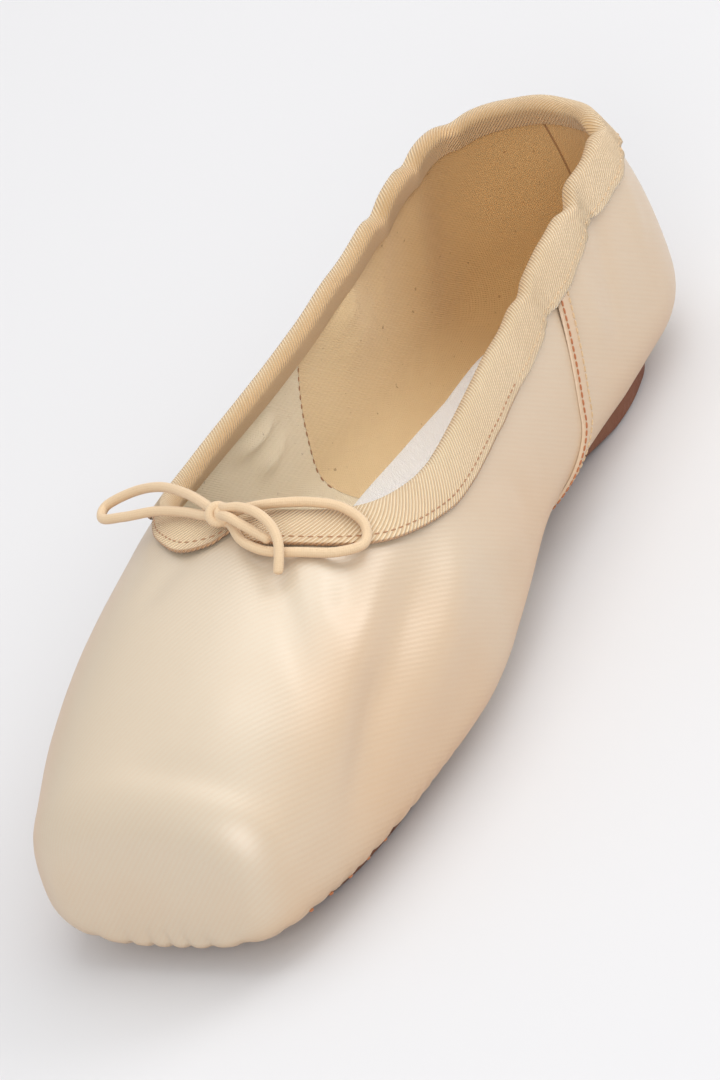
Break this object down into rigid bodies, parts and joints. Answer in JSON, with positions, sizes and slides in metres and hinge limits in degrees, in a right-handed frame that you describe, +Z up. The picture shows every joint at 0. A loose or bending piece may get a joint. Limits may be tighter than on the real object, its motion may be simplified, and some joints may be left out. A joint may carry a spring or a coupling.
{
  "type": "pointe shoe",
  "caption": "Pointe shoe with a stiff flat-tipped toe box, open collar bound with tape, drawstring bow at the throat, arched leather outsole and heel strip, standing empty on its sole",
  "frame": {"origin": "on the floor under the middle of the shoe, midway along its length and on its centre line", "axes": "+X heel to toe, +Y to the wearer's left, +Z up"},
  "size_m": [0.2376, 0.085, 0.0677],
  "materials": {
    "satin": "peach satin over pasted canvas, soft sheen",
    "sole_leather": "brown leather, scored across the forefoot",
    "insole_cloth": "pale cotton sock lining, matt",
    "binding_tape": "cotton twill tape, matt",
    "cord": "thin twisted cotton cord"
  },
  "bodies": {
    "root": {"outsole": "sole_leather", "upper": "satin", "insole": "insole_cloth", "collar_binding": "binding_tape", "heel_strip": "satin", "side_seam_left": "satin", "side_seam_right": "satin", "drawstring_knot": "cord", "drawstring_loop_left": "cord", "drawstring_loop_right": "cord", "drawstring_end_left": "cord", "drawstring_end_right": "cord"}
  },
  "joints": []
}
